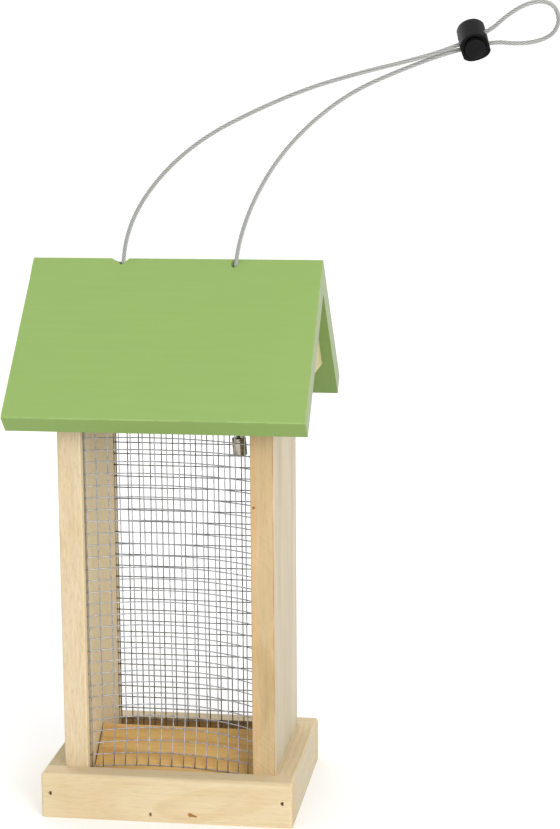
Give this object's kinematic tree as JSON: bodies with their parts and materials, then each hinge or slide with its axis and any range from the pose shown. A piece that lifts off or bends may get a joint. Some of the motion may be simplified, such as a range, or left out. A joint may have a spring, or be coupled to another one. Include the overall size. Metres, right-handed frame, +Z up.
{
  "type": "peanut feeder",
  "caption": "Hanging wooden peanut feeder with wire mesh walls, a crumb tray and a gable roof that lifts along a looped steel cable held by a cord lock.",
  "frame": {"origin": "middle of the tray's underside", "axes": "+Z up, -Y towards the front with the bowed mesh, +X to the right as seen from the front"},
  "size_m": [0.2664, 0.1408, 0.4102],
  "materials": {
    "pine": "bare planed pine",
    "wedge_pine": "bare pine, warmer tone",
    "roof_green": "light green wood stain, matt",
    "mesh_steel": "galvanised",
    "cable_steel": "twisted strands in a clear coat",
    "sleeve_aluminium": "polished",
    "fastener_steel": "plain",
    "lock_plastic": "satin black"
  },
  "bodies": {
    "feeder_body": {"tray_front_rail": "pine", "tray_back_rail": "pine", "tray_left_rail": "pine", "tray_right_rail": "pine", "floor_board": "pine", "floor_wedge": "wedge_pine", "left_panel": "pine", "right_panel": "pine", "front_mesh": "mesh_steel", "back_mesh": "mesh_steel", "hanger_crossbar": "pine", "crossbar_screws": "fastener_steel", "tray_brads": "fastener_steel", "floor_brads": "fastener_steel", "panel_brads": "fastener_steel", "hanger_cable_inner": "cable_steel", "left_stop_sleeve": "sleeve_aluminium", "right_stop_sleeve": "sleeve_aluminium"},
    "roof": {"roof_front_board": "roof_green", "roof_back_board": "roof_green", "left_gable_block": "pine", "right_gable_block": "pine", "roof_brads": "fastener_steel", "hanger_cable": "cable_steel"},
    "cord_lock": {"cord_lock_body": "lock_plastic", "cord_lock_spring": "fastener_steel"},
    "lock_button": {"cord_lock_button": "lock_plastic"}
  },
  "joints": [
    {"name": "roof_lift", "type": "slide", "parent": "feeder_body", "child": "roof", "axis": [0, 0, 1], "range_m": [0, 0.1]},
    {"name": "cord_lock_slide", "type": "slide", "parent": "roof", "child": "cord_lock", "axis": [0.9511, 0, 0.309], "range_m": [-0.008, 0]},
    {"name": "button_press", "type": "slide", "parent": "cord_lock", "child": "lock_button", "axis": [-0.1638, 0.848, 0.504], "range_m": [0, 0.0035], "stiffness_N_per_m": 1200, "deforming": ["cord_lock_spring"]}
  ]
}
